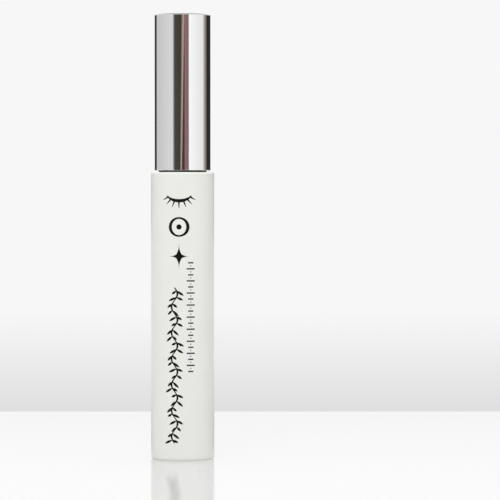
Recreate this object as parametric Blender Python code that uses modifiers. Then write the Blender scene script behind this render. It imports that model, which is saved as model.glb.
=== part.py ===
"""A slim mascara tube: white sleeve over a threaded vial, wiper, and a screw cap that carries the wand.

Units are metres, +Z is up, and the origin is the centre of the base. The cap is screwed home and the
wand hangs down the vial, with the curve of its brush in the XZ plane.
"""

import math

import bpy
import bmesh
from mathutils import Vector

MM = 0.001
FACETS = 36                           # round the axis
SLIM_FACETS = 18                      # on pieces as slim as the rod
FILLET_FACETS = ((0.25 * MM, 1), (0.55 * MM, 2), (1.0, 3))  # facets of fillets up to each radius
GAP = 0.1 * MM                        # between pieces that touch

# Outside sizes
TUBE_RADIUS = 8.9 * MM
TUBE_HEIGHT = 80.7 * MM
CAP_RADIUS = 7.85 * MM
CAP_LENGTH = 43.8 * MM
CAP_SEAM = 0.5 * MM                   # visible height of the dark ring between shoulder and cap
CAP_BOTTOM = TUBE_HEIGHT + CAP_SEAM
CAP_TOP = CAP_BOTTOM + CAP_LENGTH

# White sleeve and its base plug
SLEEVE_WALL = 1.4 * MM
SHOULDER_THICKNESS = 1.6 * MM
SHOULDER_EDGE = 0.5 * MM
BASE_EDGE = 0.8 * MM
PLUG_THICKNESS = 1.8 * MM
PLUG_SEAM = 0.2 * MM

# Vial: body, neck and neck bore
VIAL_RADIUS = 7.1 * MM
VIAL_WALL = 1.1 * MM
VIAL_BOTTOM = PLUG_THICKNESS + 3 * GAP
VIAL_FLOOR = 1.2 * MM
NECK_RADIUS = 5.65 * MM
NECK_BORE = 4.9 * MM
NECK_TOP = TUBE_HEIGHT + 14.0 * MM

# Single-start thread on the neck and in the cap
THREAD_LEAD = 3.0 * MM
THREAD_CREST = 6.08 * MM
THREAD_START = TUBE_HEIGHT + 5.0 * MM
THREAD_TURNS = 1.25
CAP_THREAD_CREST = 6.15 * MM
CAP_THREAD_START = TUBE_HEIGHT + 4.5 * MM
CAP_THREAD_TURNS = 1.5
THREAD_ROOT_WIDTH = 1.1 * MM
THREAD_CREST_WIDTH = 0.6 * MM
THREAD_STEPS_A_TURN = 18
THREAD_RUN_OUT = math.radians(40)     # angle over which a thread's end fades into the wall

# Dark ring round the foot of the neck
RING_RADIUS = 6.75 * MM
RING_HEIGHT = 0.8 * MM

# Wiper pressed into the neck
WIPER_FLANGE = 5.5 * MM
WIPER_FLANGE_THICKNESS = 0.6 * MM
WIPER_WALL = 0.8 * MM
WIPER_SKIRT = 6.2 * MM                # straight part inside the neck
WIPER_CONE = 5.0 * MM
WIPER_LIP = 1.1 * MM
WIPER_ORIFICE = 1.6 * MM

# Cap: bright shell, inner cap and sealing washer
SHELL_WALL = 0.5 * MM
SHELL_TOP_WALL = 0.7 * MM
SHELL_TOP_EDGE = 0.35 * MM
SHELL_RIM_EDGE = 0.22 * MM
INNER_RADIUS = CAP_RADIUS - SHELL_WALL - GAP
INNER_BORE = 6.55 * MM
INNER_BOTTOM = CAP_BOTTOM + 0.7 * MM
INNER_TOP = CAP_BOTTOM + 35.0 * MM
WEB_BOTTOM = NECK_TOP + 1.7 * MM
WEB_THICKNESS = 1.4 * MM
SOCKET_RADIUS = 3.2 * MM
SOCKET_TOP = WEB_BOTTOM + 9.2 * MM
SOCKET_ROOF = 1.2 * MM
RIBS = 4
RIB_THICKNESS = 0.8 * MM
RIB_HEIGHT = 6.5 * MM
CRUSH_RIBS = 12
CRUSH_RIB_WIDTH = 0.7 * MM
CRUSH_RIB_RELIEF = 0.25 * MM
WASHER_RADIUS = 6.4 * MM
WASHER_HOLE = 2.2 * MM
WASHER_THICKNESS = 0.75 * MM

# Wand: rod, twisted wire and brush
ROD_RADIUS = 1.4 * MM
ROD_TIP_RADIUS = 1.32 * MM
ROD_END = 34.0 * MM                   # height of the rod's lower end
ROD_BEAD = 0.22 * MM
BEAD_BELOW_TOP = 3.0 * MM
WIRE_SOCKET = 0.76 * MM
WIRE_SOCKET_DEPTH = 6.2 * MM
STRAND_RADIUS = 0.31 * MM
STRAND_OFFSET = 0.36 * MM             # from the twisted wire's centre line
TWIST_PITCH = 2.6 * MM
WIRE_STEPS_A_TURN = 8
FLIGHT_STEPS_A_TURN = 10
BRUSH_LENGTH = 27.0 * MM              # of wire below the rod
LEAN_BACK = math.radians(2.5)         # the wire leaves the rod this far to -X
TIP_LEAN = math.radians(14.0)         # and ends this far to +X
CURVE_FROM, CURVE_TO = 0.35, 0.85     # shares of the brush's length where the curve lies
CENTRE_LINE_STEPS = 180
BARE_WIRE = 0.6 * MM                  # between the rod and the first bristles
FLIGHT_ROOT = 0.42 * MM
FLIGHT_THICKNESS = 0.34 * MM          # along the wire
BRUSH_BASE_RADIUS = 1.3 * MM
BRUSH_FULL_RADIUS = 2.2 * MM
BRUSH_TIP_RADIUS = 1.0 * MM
FULLEST_AT = 0.55                     # share of the brush's length

# Paste left round the brush's path
PASTE_WELL = 3.7 * MM
PASTE_LEVEL = 56.0 * MM
PASTE_POOL = 6.2 * MM

PARTS = "mascara_tube"
CUTTERS = "cutters"


def clear_scene():
    for thing in list(bpy.data.objects):
        bpy.data.objects.remove(thing, do_unlink=True)


def collection(name):
    made = bpy.data.collections.new(name)
    bpy.context.scene.collection.children.link(made)
    return made


def material(name, colour, roughness, metallic=0.0):
    made = bpy.data.materials.new(name)
    made.use_nodes = True
    shader = made.node_tree.nodes["Principled BSDF"]
    shader.inputs["Base Color"].default_value = (*colour, 1.0)
    shader.inputs["Roughness"].default_value = roughness
    shader.inputs["Metallic"].default_value = metallic
    return made


def empty(name, height, parent=None):
    """An axis marker on the tube's centre line, at the given height."""
    made = bpy.data.objects.new(name, None)
    made.location = (0.0, 0.0, height - (parent.location.z if parent else 0.0))
    made.parent = parent
    made.empty_display_size = 5 * MM
    bpy.data.collections[PARTS].objects.link(made)
    return made


def add_object(name, mesh, surface, group=PARTS):
    made = bpy.data.objects.new(name, mesh)
    if surface:
        mesh.materials.append(surface)
    bpy.data.collections[group].objects.link(made)
    return made


def smooth(mesh, angle=math.radians(35)):
    mesh.shade_smooth()
    mesh.set_sharp_from_angle(angle=angle)


def evaluated_mesh(obj):
    graph = bpy.context.evaluated_depsgraph_get()
    return bpy.data.meshes.new_from_object(obj.evaluated_get(graph))


def corner_arc(before, corner, after, radius):
    """Points of the fillet that replaces a corner of a flat outline."""
    steps = next(count for limit, count in FILLET_FACETS if radius <= limit)
    back = (before - corner).normalized()
    ahead = (after - corner).normalized()
    half = back.angle(ahead) / 2
    reach = radius / math.tan(half)
    centre = corner + (back + ahead).normalized() * (radius / math.sin(half))
    start, end = corner + back * reach - centre, corner + ahead * reach - centre
    sweep = start.angle(end)
    turn = math.copysign(1.0, start.cross(end))
    for i in range(steps + 1):
        angle = turn * sweep * i / steps
        cos, sin = math.cos(angle), math.sin(angle)
        yield centre + Vector((start.x * cos - start.y * sin, start.x * sin + start.y * cos))


def outline_points(outline):
    """(radius, height[, fillet]) corners as flat points, with each fillet turned into an arc."""
    corners = [Vector(corner[:2]) for corner in outline]
    points = []
    for i, corner in enumerate(outline):
        fillet = corner[2] if len(corner) > 2 else 0.0
        if fillet:
            after = corners[(i + 1) % len(corners)]
            points += corner_arc(corners[i - 1], corners[i], after, fillet)
        else:
            points.append(corners[i])
    return points


def turned(name, outline, surface, closed=True, facets=FACETS):
    """A piece turned about Z. The outline runs down the piece's outer side and back up inside."""
    points = outline_points(outline)
    count = len(points)
    edges = [(i, (i + 1) % count) for i in range(count if closed else count - 1)]
    profile = bpy.data.meshes.new(name)
    profile.from_pydata([(p.x, 0.0, p.y) for p in points], edges, [])
    made = add_object(name, profile, surface)
    screw = made.modifiers.new("turn", "SCREW")
    screw.axis = "Z"
    screw.steps = screw.render_steps = facets
    screw.use_merge_vertices = True
    screw.merge_threshold = 0.000001
    made.data = evaluated_mesh(made)
    made.modifiers.clear()
    bpy.data.meshes.remove(profile)
    made.data.name = name
    smooth(made.data)
    return made


def loft(name, rings, surface, group=PARTS):
    """A closed body through rings of equal point count, with flat ends."""
    shape = bmesh.new()
    loops = [[shape.verts.new(point) for point in ring] for ring in rings]
    count = len(loops[0])
    for low, high in zip(loops, loops[1:]):
        for i in range(count):
            j = (i + 1) % count
            shape.faces.new((low[i], low[j], high[j], high[i]))
    shape.faces.new(loops[0])
    shape.faces.new(loops[-1])
    bmesh.ops.recalc_face_normals(shape, faces=shape.faces)
    mesh = bpy.data.meshes.new(name)
    shape.to_mesh(mesh)
    shape.free()
    return add_object(name, mesh, surface, group)


def cutter(made):
    made.hide_render = True
    made.display_type = "WIRE"
    return made


def join_shape(obj, tool):
    boolean = obj.modifiers.new(tool.name, "BOOLEAN")
    boolean.operation = "UNION"
    boolean.solver = "EXACT"
    boolean.object = cutter(tool)


def thread_ridge(name, root, crest, start, turns, first_angle):
    """A helical ridge from radius root to crest, fading into the wall at both ends."""
    steps = round(turns * THREAD_STEPS_A_TURN)
    sweep = turns * math.tau
    rings = []
    for i in range(steps + 1):
        angle = sweep * i / steps
        fade = min(1.0, angle / THREAD_RUN_OUT, (sweep - angle) / THREAD_RUN_OUT)
        top = root + (crest - root) * (0.35 + 0.65 * fade)
        height = start + THREAD_LEAD * angle / math.tau
        side = Vector((math.cos(first_angle + angle), math.sin(first_angle + angle), 0.0))
        section = (
            (root, -THREAD_ROOT_WIDTH / 2),
            (top, -THREAD_CREST_WIDTH / 2),
            (top, THREAD_CREST_WIDTH / 2),
            (root, THREAD_ROOT_WIDTH / 2),
        )
        rings.append([side * radius + Vector((0, 0, height + rise)) for radius, rise in section])
    return loft(name, rings, None, CUTTERS)


def box(name, size, centre, turn=0.0):
    """A plain block in the cutters' collection."""
    bpy.ops.mesh.primitive_cube_add(size=1.0)
    made = bpy.context.object
    made.name = name
    for group in list(made.users_collection):
        group.objects.unlink(made)
    bpy.data.collections[CUTTERS].objects.link(made)
    made.scale = size
    made.location = centre
    made.rotation_euler = (0.0, 0.0, turn)
    return made


def joined(name, blocks):
    """One cutter object from several plain blocks."""
    shape = bmesh.new()
    for block in blocks:
        bpy.context.view_layer.update()
        mesh = block.data.copy()
        mesh.transform(block.matrix_world)
        shape.from_mesh(mesh)
        bpy.data.meshes.remove(mesh)
        bpy.data.objects.remove(block)
    mesh = bpy.data.meshes.new(name)
    shape.to_mesh(mesh)
    shape.free()
    return add_object(name, mesh, None, CUTTERS)


def make_sleeve(surface):
    inside = TUBE_RADIUS - SLEEVE_WALL
    underside = TUBE_HEIGHT - SHOULDER_THICKNESS
    hole = NECK_RADIUS + GAP
    return turned("outer_sleeve", [
        (hole, TUBE_HEIGHT),
        (TUBE_RADIUS, TUBE_HEIGHT, SHOULDER_EDGE),
        (TUBE_RADIUS, 0.0, BASE_EDGE),
        (inside, 0.0, 0.15 * MM),
        (inside, underside, 0.5 * MM),
        (hole, underside),
    ], surface)


def make_base_plug(surface):
    """Disc that closes the sleeve from below, with a short stiffening rim on its upper side."""
    radius = TUBE_RADIUS - SLEEVE_WALL - PLUG_SEAM
    rim, dish = 1.0 * MM, 0.6 * MM
    return turned("base_plug", [
        (0.0, PLUG_THICKNESS - dish),
        (radius - rim - dish, PLUG_THICKNESS - dish),
        (radius - rim, PLUG_THICKNESS),
        (radius, PLUG_THICKNESS, 0.2 * MM),
        (radius, 0.0, 0.15 * MM),
        (0.0, 0.0),
    ], surface, closed=False)


def make_vial(surface):
    inside = VIAL_RADIUS - VIAL_WALL
    shoulder = TUBE_HEIGHT - SHOULDER_THICKNESS - GAP
    floor = VIAL_BOTTOM + VIAL_FLOOR
    vial = turned("inner_vial", [
        (0.0, floor),
        (inside, floor, 1.0 * MM),
        (inside, shoulder - 2.2 * MM),
        (NECK_BORE, shoulder - 0.9 * MM),
        (NECK_BORE, NECK_TOP, 0.15 * MM),
        (NECK_RADIUS, NECK_TOP, 0.3 * MM),
        (NECK_RADIUS, shoulder),
        (VIAL_RADIUS, shoulder, 0.6 * MM),
        (VIAL_RADIUS, VIAL_BOTTOM, 0.8 * MM),
        (0.0, VIAL_BOTTOM),
    ], surface, closed=False)
    ridge = thread_ridge(
        "neck_thread", NECK_RADIUS - 0.2 * MM, THREAD_CREST, THREAD_START, THREAD_TURNS, 0.0
    )
    join_shape(vial, ridge)
    return vial


def make_neck_ring(surface):
    inside = NECK_RADIUS + GAP
    bottom = TUBE_HEIGHT + GAP
    return turned("neck_ring", [
        (inside, bottom + RING_HEIGHT),
        (RING_RADIUS, bottom + RING_HEIGHT, 0.15 * MM),
        (RING_RADIUS, bottom, 0.1 * MM),
        (inside, bottom),
    ], surface)


def make_wiper(surface):
    outside = NECK_BORE - GAP
    inside = outside - WIPER_WALL
    bottom = NECK_TOP + GAP
    top = bottom + WIPER_FLANGE_THICKNESS
    skirt_end = bottom - WIPER_SKIRT
    cone_end = skirt_end - WIPER_CONE
    lip = WIPER_ORIFICE + 0.5 * MM
    return turned("wiper", [
        (inside, top, 0.3 * MM),
        (WIPER_FLANGE, top, 0.2 * MM),
        (WIPER_FLANGE, bottom),
        (outside, bottom),
        (outside, skirt_end, 0.6 * MM),
        (lip, cone_end, 0.3 * MM),
        (lip, cone_end - WIPER_LIP, 0.15 * MM),
        (WIPER_ORIFICE, cone_end - WIPER_LIP),
        (WIPER_ORIFICE, cone_end + 0.3 * MM, 0.3 * MM),
        (inside, skirt_end + 0.3 * MM, 0.6 * MM),
    ], surface)


def make_paste(surface):
    """Paste on the vial's wall and floor, with the brush's path left open down the middle."""
    outside = VIAL_RADIUS - VIAL_WALL - GAP
    floor = VIAL_BOTTOM + VIAL_FLOOR + GAP
    return turned("formula", [
        (0.0, PASTE_POOL),
        (PASTE_WELL, PASTE_POOL, 1.2 * MM),
        (PASTE_WELL, PASTE_LEVEL - 1.2 * MM),
        (outside - 0.15 * MM, PASTE_LEVEL),
        (outside, PASTE_LEVEL),
        (outside, floor, 1.0 * MM),
        (0.0, floor),
    ], surface, closed=False)


def make_shell(surface):
    inside = CAP_RADIUS - SHELL_WALL
    roof = CAP_TOP - SHELL_TOP_WALL
    return turned("cap_shell", [
        (0.0, CAP_TOP),
        (CAP_RADIUS, CAP_TOP, SHELL_TOP_EDGE),
        (CAP_RADIUS, CAP_BOTTOM, SHELL_RIM_EDGE),
        (inside, CAP_BOTTOM, SHELL_RIM_EDGE),
        (inside, roof, 0.3 * MM),
        (0.0, roof),
    ], surface, closed=False)


def make_inner_cap(surface):
    """Threaded liner of the cap, with the rod's socket on the web above the neck."""
    web_top = WEB_BOTTOM + WEB_THICKNESS
    hole = ROD_RADIUS + GAP
    hole_top = SOCKET_TOP - SOCKET_ROOF
    groove = hole_top - GAP - BEAD_BELOW_TOP
    groove_half = 0.75 * MM
    wall = INNER_RADIUS - CRUSH_RIB_RELIEF
    inner = turned("inner_cap", [
        (0.0, SOCKET_TOP),
        (SOCKET_RADIUS, SOCKET_TOP, 0.4 * MM),
        (SOCKET_RADIUS, web_top, 0.4 * MM),
        (INNER_BORE, web_top, 0.3 * MM),
        (INNER_BORE, INNER_TOP, 0.15 * MM),
        (wall, INNER_TOP, 0.15 * MM),
        (wall, INNER_BOTTOM + 1.2 * MM),
        (INNER_RADIUS, INNER_BOTTOM + 1.0 * MM),
        (INNER_RADIUS, INNER_BOTTOM, 0.15 * MM),
        (INNER_BORE, INNER_BOTTOM, 0.15 * MM),
        (INNER_BORE, WEB_BOTTOM, 0.25 * MM),
        (hole, WEB_BOTTOM, 0.2 * MM),
        (hole, groove - groove_half),
        (hole + ROD_BEAD + 0.03 * MM, groove, 0.2 * MM),
        (hole, groove + groove_half),
        (hole, hole_top),
        (0.0, hole_top),
    ], surface, closed=False)
    first_angle = (CAP_THREAD_START + THREAD_LEAD / 2 - THREAD_START) / THREAD_LEAD * math.tau
    ridge = thread_ridge(
        "cap_thread", INNER_BORE + 0.2 * MM, CAP_THREAD_CREST, CAP_THREAD_START, CAP_THREAD_TURNS,
        first_angle,
    )
    join_shape(inner, ridge)
    reach = INNER_BORE + 0.2 * MM - (SOCKET_RADIUS - 0.5 * MM)
    middle = SOCKET_RADIUS - 0.5 * MM + reach / 2
    plates = []
    for i in range(RIBS):
        turn = math.tau * (i + 0.5) / RIBS
        centre = (
            middle * math.cos(turn), middle * math.sin(turn),
            web_top - 0.3 * MM + RIB_HEIGHT / 2,
        )
        plates.append(box(f"web_rib_{i}", (reach, RIB_THICKNESS, RIB_HEIGHT), centre, turn))
    join_shape(inner, joined("web_ribs", plates))
    strips = []
    strip_bottom, strip_top = INNER_BOTTOM + 1.5 * MM, INNER_TOP - 1.5 * MM
    strip_depth = 0.4 * MM
    for i in range(CRUSH_RIBS):
        turn = math.tau * (i + 0.25) / CRUSH_RIBS
        radius = INNER_RADIUS - 0.02 * MM - strip_depth / 2
        centre = (radius * math.cos(turn), radius * math.sin(turn), (strip_bottom + strip_top) / 2)
        size = (strip_depth, CRUSH_RIB_WIDTH, strip_top - strip_bottom)
        strips.append(box(f"crush_rib_{i}", size, centre, turn))
    join_shape(inner, joined("crush_ribs", strips))
    return inner


def make_washer(surface):
    top = WEB_BOTTOM - GAP
    bottom = top - WASHER_THICKNESS
    return turned("sealing_washer", [
        (WASHER_HOLE, top),
        (WASHER_RADIUS, top, 0.15 * MM),
        (WASHER_RADIUS, bottom, 0.15 * MM),
        (WASHER_HOLE, bottom),
    ], surface)


def make_rod(surface):
    top = SOCKET_TOP - SOCKET_ROOF - GAP
    bead = top - BEAD_BELOW_TOP
    half_bead = 0.6 * MM
    socket_top = ROD_END + WIRE_SOCKET_DEPTH
    return turned("wand_rod", [
        (0.0, top),
        (ROD_RADIUS, top, 0.3 * MM),
        (ROD_RADIUS, bead + half_bead),
        (ROD_RADIUS + ROD_BEAD, bead, 0.25 * MM),
        (ROD_RADIUS, bead - half_bead),
        (ROD_RADIUS, WEB_BOTTOM),
        (ROD_TIP_RADIUS, ROD_END, 0.5 * MM),
        (WIRE_SOCKET, ROD_END),
        (WIRE_SOCKET, socket_top),
        (0.0, socket_top),
    ], surface, closed=False, facets=SLIM_FACETS)


def wire_heading(share):
    """The wire's lean towards +X at a share of the brush's length: a slight lean back, then a curve."""
    ease = min(1.0, max(0.0, (share - CURVE_FROM) / (CURVE_TO - CURVE_FROM)))
    return -LEAN_BACK + (LEAN_BACK + TIP_LEAN) * ease * ease * (3 - 2 * ease)


def brush_centre_line():
    """Points down the middle of the brush, from the rod's end to the tip, at equal steps."""
    step = BRUSH_LENGTH / CENTRE_LINE_STEPS
    points = [Vector((0.0, 0.0, ROD_END))]
    for i in range(CENTRE_LINE_STEPS):
        lean = wire_heading((i + 0.5) / CENTRE_LINE_STEPS)
        points.append(points[-1] + Vector((math.sin(lean), 0.0, -math.cos(lean))) * step)
    return points


CENTRE_LINE = brush_centre_line()


def wire_frame(depth):
    """Point and two cross directions of the wire's centre line, at a length below the rod's end."""
    if depth <= 0:
        return Vector((0, 0, ROD_END - depth)), Vector((1, 0, 0)), Vector((0, 1, 0))
    place = min(depth / BRUSH_LENGTH, 1.0) * CENTRE_LINE_STEPS
    i = min(int(place), CENTRE_LINE_STEPS - 1)
    lean = wire_heading(depth / BRUSH_LENGTH)
    point = CENTRE_LINE[i].lerp(CENTRE_LINE[i + 1], place - i)
    return point, Vector((math.cos(lean), 0, math.sin(lean))), Vector((0, 1, 0))


def around_wire(depth, radius, angle):
    point, across, side = wire_frame(depth)
    return point + (across * math.cos(angle) + side * math.sin(angle)) * radius


def twist_angle(depth):
    return math.tau * depth / TWIST_PITCH


def make_wire(surface):
    """One wire folded inside the rod, its two legs twisted together down to the tip."""
    twist_start = -0.3 * MM
    steps = round((BRUSH_LENGTH - twist_start) / TWIST_PITCH * WIRE_STEPS_A_TURN)
    leg = [twist_start + (BRUSH_LENGTH - twist_start) * i / steps for i in range(steps + 1)]
    straight_angle = twist_angle(twist_start)
    fold = -(WIRE_SOCKET_DEPTH - STRAND_RADIUS - GAP - STRAND_OFFSET)
    points = [around_wire(depth, STRAND_OFFSET, twist_angle(depth)) for depth in reversed(leg)]
    bend_steps = 4
    for i in range(bend_steps + 1):
        turn = math.pi * i / bend_steps
        points.append(around_wire(
            fold - STRAND_OFFSET * math.sin(turn), STRAND_OFFSET * math.cos(turn), straight_angle,
        ))
    points += [
        around_wire(depth, STRAND_OFFSET, twist_angle(depth) + math.pi) for depth in leg
    ]
    curve = bpy.data.curves.new("brush_wire", "CURVE")
    curve.dimensions = "3D"
    curve.bevel_depth = STRAND_RADIUS
    curve.bevel_resolution = 2
    curve.use_fill_caps = True
    spline = curve.splines.new("POLY")
    spline.points.add(len(points) - 1)
    for slot, point in zip(spline.points, points):
        slot.co = (*point, 1.0)
    path = bpy.data.objects.new("brush_wire_path", curve)
    bpy.data.collections[PARTS].objects.link(path)
    mesh = evaluated_mesh(path)
    mesh.name = "brush_wire"
    bpy.data.objects.remove(path)
    bpy.data.curves.remove(curve)
    shape = bmesh.new()
    shape.from_mesh(mesh)
    bmesh.ops.remove_doubles(shape, verts=shape.verts, dist=0.000001)
    bmesh.ops.recalc_face_normals(shape, faces=shape.faces)
    shape.to_mesh(mesh)
    shape.free()
    smooth(mesh)
    return add_object("brush_wire", mesh, surface)


def brush_radius(share):
    """Outer radius of the bristles, from 0 at the rod to 1 at the tip: slim, full, then tapered."""
    if share < FULLEST_AT:
        rise = math.sin(math.pi / 2 * share / FULLEST_AT)
        return BRUSH_BASE_RADIUS + (BRUSH_FULL_RADIUS - BRUSH_BASE_RADIUS) * rise
    fall = math.cos(math.pi / 2 * (share - FULLEST_AT) / (1 - FULLEST_AT))
    return BRUSH_TIP_RADIUS + (BRUSH_FULL_RADIUS - BRUSH_TIP_RADIUS) * fall


def make_bristle_flight(name, phase, surface):
    """One side of the spiral brush: a thin flight that winds round the wire between its legs."""
    start = BARE_WIRE
    end = BRUSH_LENGTH - 0.2 * MM
    steps = round((end - start) / TWIST_PITCH * FLIGHT_STEPS_A_TURN)
    half_angle = math.pi * FLIGHT_THICKNESS / TWIST_PITCH
    rings = []
    for i in range(steps + 1):
        share = i / steps
        depth = start + (end - start) * share
        outer = brush_radius(share)
        middle = twist_angle(depth) + math.pi / 2 + phase
        section = (
            (FLIGHT_ROOT, -0.8), (outer, -0.7), (outer + 0.02 * MM, 0.0), (outer, 0.7),
            (FLIGHT_ROOT, 0.8),
        )
        rings.append([
            around_wire(depth, radius, middle + half_angle * across) for radius, across in section
        ])
    made = loft(name, rings, surface)
    smooth(made.data)
    return made


def main():
    clear_scene()
    collection(PARTS)
    collection(CUTTERS)
    white = material("white_satin_plastic", (0.86, 0.86, 0.84), 0.38)
    chrome = material("bright_chrome", (0.86, 0.86, 0.87), 0.06, metallic=1.0)
    black = material("black_gloss_plastic", (0.012, 0.012, 0.012), 0.3)
    seat_black = material("black_ring_plastic", (0.03, 0.03, 0.032), 0.45)
    vial_plastic = material("natural_plastic", (0.78, 0.78, 0.76), 0.4)
    wiper_plastic = material("soft_wiper_plastic", (0.7, 0.7, 0.69), 0.55)
    foam = material("washer_foam", (0.83, 0.83, 0.81), 0.8)
    paste = material("black_paste", (0.008, 0.007, 0.007), 0.25)
    wire = material("blackened_wire", (0.05, 0.05, 0.052), 0.35, metallic=1.0)
    nylon = material("black_nylon", (0.01, 0.01, 0.011), 0.45)

    tube = [
        make_sleeve(white), make_base_plug(white), make_vial(vial_plastic),
        make_wiper(wiper_plastic), make_paste(paste),
    ]
    ring = make_neck_ring(seat_black)
    washer = make_washer(foam)
    wand = [
        make_shell(chrome), make_inner_cap(black), make_rod(black), make_wire(wire),
        make_bristle_flight("bristle_flight_a", 0.0, nylon),
        make_bristle_flight("bristle_flight_b", math.pi, nylon),
    ]

    tube_frame = empty("tube_frame", 0.0)
    unscrew_axis = empty("cap_unscrew_axis", CAP_BOTTOM, tube_frame)
    draw_axis = empty("wand_draw_axis", WEB_BOTTOM, tube_frame)
    rise_axis = empty("cap_rise_axis", CAP_BOTTOM, tube_frame)
    bpy.context.view_layer.update()
    for axis, pieces in (
        (tube_frame, tube), (unscrew_axis, [ring]), (draw_axis, [washer]), (rise_axis, wand),
    ):
        for piece in pieces:
            piece.parent = axis
            piece.matrix_parent_inverse = axis.matrix_world.inverted()


main()
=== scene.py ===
"""Looks of the mascara tube: satin sleeve, mirror cap, wand with a fibre brush, ornament and studio."""

import math
import random

import bpy
import bmesh
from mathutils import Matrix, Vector


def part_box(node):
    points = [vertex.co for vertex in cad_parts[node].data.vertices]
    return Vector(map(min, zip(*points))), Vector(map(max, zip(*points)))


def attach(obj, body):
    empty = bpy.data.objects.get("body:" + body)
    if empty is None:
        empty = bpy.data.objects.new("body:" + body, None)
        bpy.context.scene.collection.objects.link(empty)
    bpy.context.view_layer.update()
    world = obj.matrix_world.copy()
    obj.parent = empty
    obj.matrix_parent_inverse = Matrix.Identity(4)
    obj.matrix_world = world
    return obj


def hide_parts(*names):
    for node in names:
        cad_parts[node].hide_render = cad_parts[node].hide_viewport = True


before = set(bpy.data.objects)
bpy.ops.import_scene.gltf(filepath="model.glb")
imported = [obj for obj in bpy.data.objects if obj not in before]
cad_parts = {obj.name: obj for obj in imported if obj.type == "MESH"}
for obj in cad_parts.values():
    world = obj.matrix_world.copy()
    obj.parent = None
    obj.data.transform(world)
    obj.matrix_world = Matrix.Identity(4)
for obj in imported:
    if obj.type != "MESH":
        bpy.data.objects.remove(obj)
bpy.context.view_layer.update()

MM = 0.001
random.seed(7)

# ------------------------------------------------------------------ sizes taken from the frame
SLEEVE_LOW, SLEEVE_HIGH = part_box("outer_sleeve")
CAP_LOW, CAP_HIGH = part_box("cap_shell")
PLUG_LOW, PLUG_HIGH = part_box("base_plug")
VIAL_LOW, VIAL_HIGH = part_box("inner_vial")
RING_LOW, RING_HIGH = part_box("neck_ring")
WIPER_LOW, WIPER_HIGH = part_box("wiper")
PASTE_LOW, PASTE_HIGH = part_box("formula")
WASHER_LOW, WASHER_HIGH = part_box("sealing_washer")
INNER_LOW, INNER_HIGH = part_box("inner_cap")
ROD_LOW, ROD_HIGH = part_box("wand_rod")

GAP = 0.1 * MM                        # between pieces that touch
SLEEVE_RADIUS = SLEEVE_HIGH.x
SHOULDER = SLEEVE_HIGH.z
SHOULDER_THICKNESS = 1.6 * MM
CAP_RADIUS = CAP_HIGH.x
CAP_RIM = CAP_LOW.z
CAP_TOP = CAP_HIGH.z
NECK_TOP = VIAL_HIGH.z
VIAL_RADIUS = VIAL_HIGH.x
NECK_RADIUS = 5.65 * MM
NECK_BORE = 4.9 * MM
VIAL_SHOULDER = SHOULDER - SHOULDER_THICKNESS - GAP
THREAD_LEAD = 3.0 * MM
THREAD_HALF = 0.58 * MM               # half the ridge's width at its foot
THREAD_FLANK = 0.30 * MM
THREAD_START = SHOULDER + 5.0 * MM
CAP_THREAD_START = SHOULDER + 4.5 * MM
INNER_BORE = 6.55 * MM
WEB_BOTTOM = WASHER_HIGH.z + GAP
ROD_RADIUS = 1.4 * MM
ROD_TIP_RADIUS = 1.32 * MM
ROD_BEAD = ROD_HIGH.z - 3.0 * MM      # height of the bead that snaps into the cap's socket
ROD_END = ROD_LOW.z
WIRE_SOCKET = 0.76 * MM               # radius of the hole in the rod's end
WIRE_SOCKET_DEPTH = 6.2 * MM

# The brush's wire, as the CAD lays it: straight in the rod, a slight lean back, then a curve to +X.
STRAND_RADIUS = 0.31 * MM
STRAND_OFFSET = 0.36 * MM             # from the twisted wire's centre line
TWIST_PITCH = 2.6 * MM
BRUSH_LENGTH = 27.0 * MM
LEAN_BACK = math.radians(2.5)
TIP_LEAN = math.radians(14.0)
CURVE_FROM, CURVE_TO = 0.35, 0.85
CENTRE_LINE_STEPS = 270


# ------------------------------------------------------------------ mesh helpers
TINY = 1e-7                           # metres; radii nearer than this are the same


def link(obj):
    bpy.context.scene.collection.objects.link(obj)
    return obj


def mesh_object(name, mesh, material=None):
    if material:
        mesh.materials.append(material)
    return link(bpy.data.objects.new(name, mesh))


def object_from(shape, name, material=None):
    """The shape, a bmesh that is freed here, as an object."""
    mesh = bpy.data.meshes.new(name)
    shape.to_mesh(mesh)
    shape.free()
    return mesh_object(name, mesh, material)


def smooth(obj, degrees=40):
    obj.data.shade_smooth()
    obj.data.set_sharp_from_angle(angle=math.radians(degrees))


def corner_arc(before, corner, after, radius, steps):
    """Points of the fillet that replaces a corner of a flat outline."""
    back = (before - corner).normalized()
    ahead = (after - corner).normalized()
    half = back.angle(ahead) / 2
    reach = radius / math.tan(half)
    centre = corner + (back + ahead).normalized() * (radius / math.sin(half))
    start, end = corner + back * reach - centre, corner + ahead * reach - centre
    sweep = start.angle(end) * math.copysign(1.0, start.cross(end))
    for i in range(steps + 1):
        angle = sweep * i / steps
        cos, sin = math.cos(angle), math.sin(angle)
        yield centre + Vector((start.x * cos - start.y * sin, start.x * sin + start.y * cos))


def outline_points(outline, closed, steps, longest=None, between=None):
    """Corners (radius, height[, fillet]) as points, with arcs and a support point by each straight's end.

    Straights are cut to at most longest; where between is (low, high), only those inside these heights.
    """
    support = 0.12 * MM
    corners = [Vector(corner[:2]) for corner in outline]
    points = []
    for i, corner in enumerate(outline):
        if len(corner) > 2:
            after = corners[(i + 1) % len(corners)]
            points += corner_arc(corners[i - 1], corners[i], after, corner[2], steps)
        else:
            points.append(corners[i])
    held = []
    for start, end in zip(points, points[1:] + ([points[0]] if closed else [])):
        held.append(start)
        length = (end - start).length
        if length > 4 * support:
            inside = not between or all(between[0] <= y <= between[1] for y in (start.y, end.y))
            count = math.ceil(length / longest) if longest and inside else 1
            cuts = [support] + [length * k / count for k in range(1, count)] + [length - support]
            held += [start + (end - start) * (cut / length) for cut in sorted(cuts)]
    if not closed:
        held.append(points[-1])
    return held


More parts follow.
